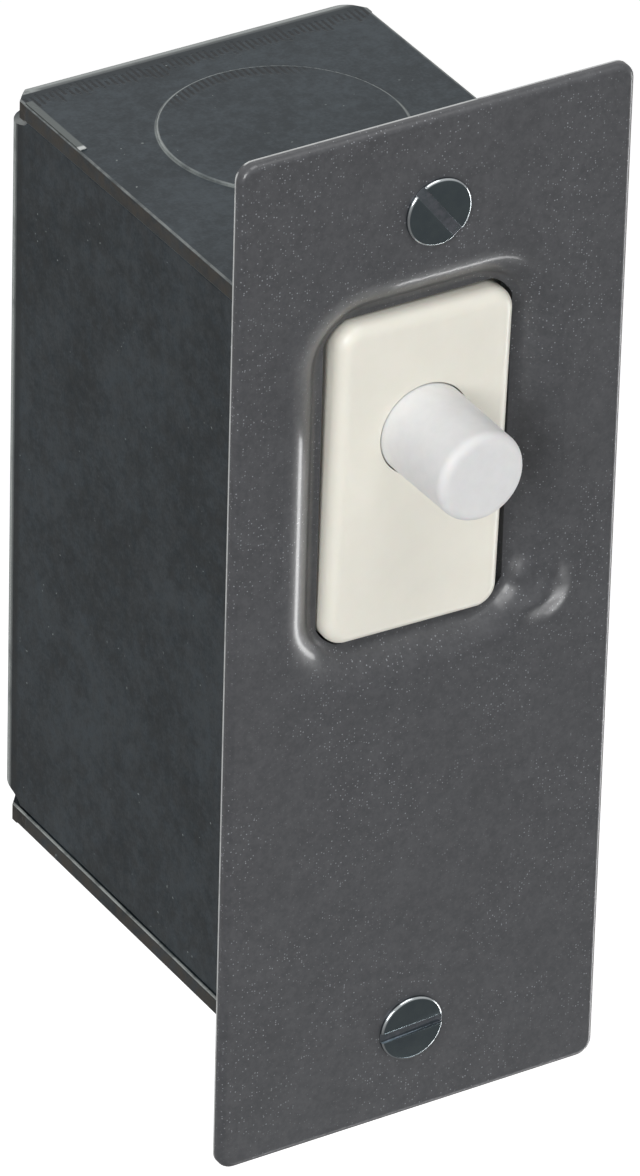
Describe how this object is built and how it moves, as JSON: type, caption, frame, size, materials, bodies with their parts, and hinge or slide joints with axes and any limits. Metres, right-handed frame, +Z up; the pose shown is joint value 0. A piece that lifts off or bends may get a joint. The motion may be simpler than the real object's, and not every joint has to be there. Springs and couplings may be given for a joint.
{
  "type": "door light switch",
  "caption": "Door-jamb light switch: a spring-loaded button in a narrow rectangular cover plate, with the switch inside a folded steel box.",
  "frame": {"origin": "middle of the cover plate's back face, which lies on the door jamb", "axes": "+X to the right as seen from the room, +Y into the jamb, along the button's travel, +Z up the plate"},
  "size_m": [0.039, 0.0534, 0.1018],
  "materials": {
    "plate_paint": "semi-gloss baked enamel",
    "blackened_steel": "black oxide with a little oil",
    "box_steel": "satin, dark phosphated sheet",
    "zinc_steel": "zinc plated, dull",
    "ivory_plastic": "satin moulded urea",
    "white_plastic": "matte moulded nylon",
    "phenolic": "semi-matte moulded phenolic",
    "brass": "rolled brass strip",
    "contact_silver": "satin silver",
    "spring_wire": "drawn music wire"
  },
  "bodies": {
    "housing": {"box": "box_steel", "cover_plate": "plate_paint", "top_cover_screw": "blackened_steel", "bottom_cover_screw": "blackened_steel", "switch_body": "ivory_plastic", "mounting_strap": "zinc_steel", "switch_base": "phenolic", "left_base_screw": "zinc_steel", "right_base_screw": "zinc_steel", "left_terminal": "brass", "right_terminal": "brass", "upper_fixed_contact": "contact_silver", "lower_fixed_contact": "contact_silver", "left_terminal_screw": "zinc_steel", "right_terminal_screw": "zinc_steel", "return_spring": "spring_wire"},
    "plunger": {"button": "white_plastic", "contact_bridge": "brass", "upper_bridge_contact": "contact_silver", "lower_bridge_contact": "contact_silver"}
  },
  "joints": [
    {"name": "button_press", "type": "slide", "parent": "housing", "child": "plunger", "axis": [0, 1, 0], "range_m": [0, 0.0075], "stiffness_N_per_m": 250, "springref_m": -0.005, "deforming": ["return_spring"]}
  ]
}
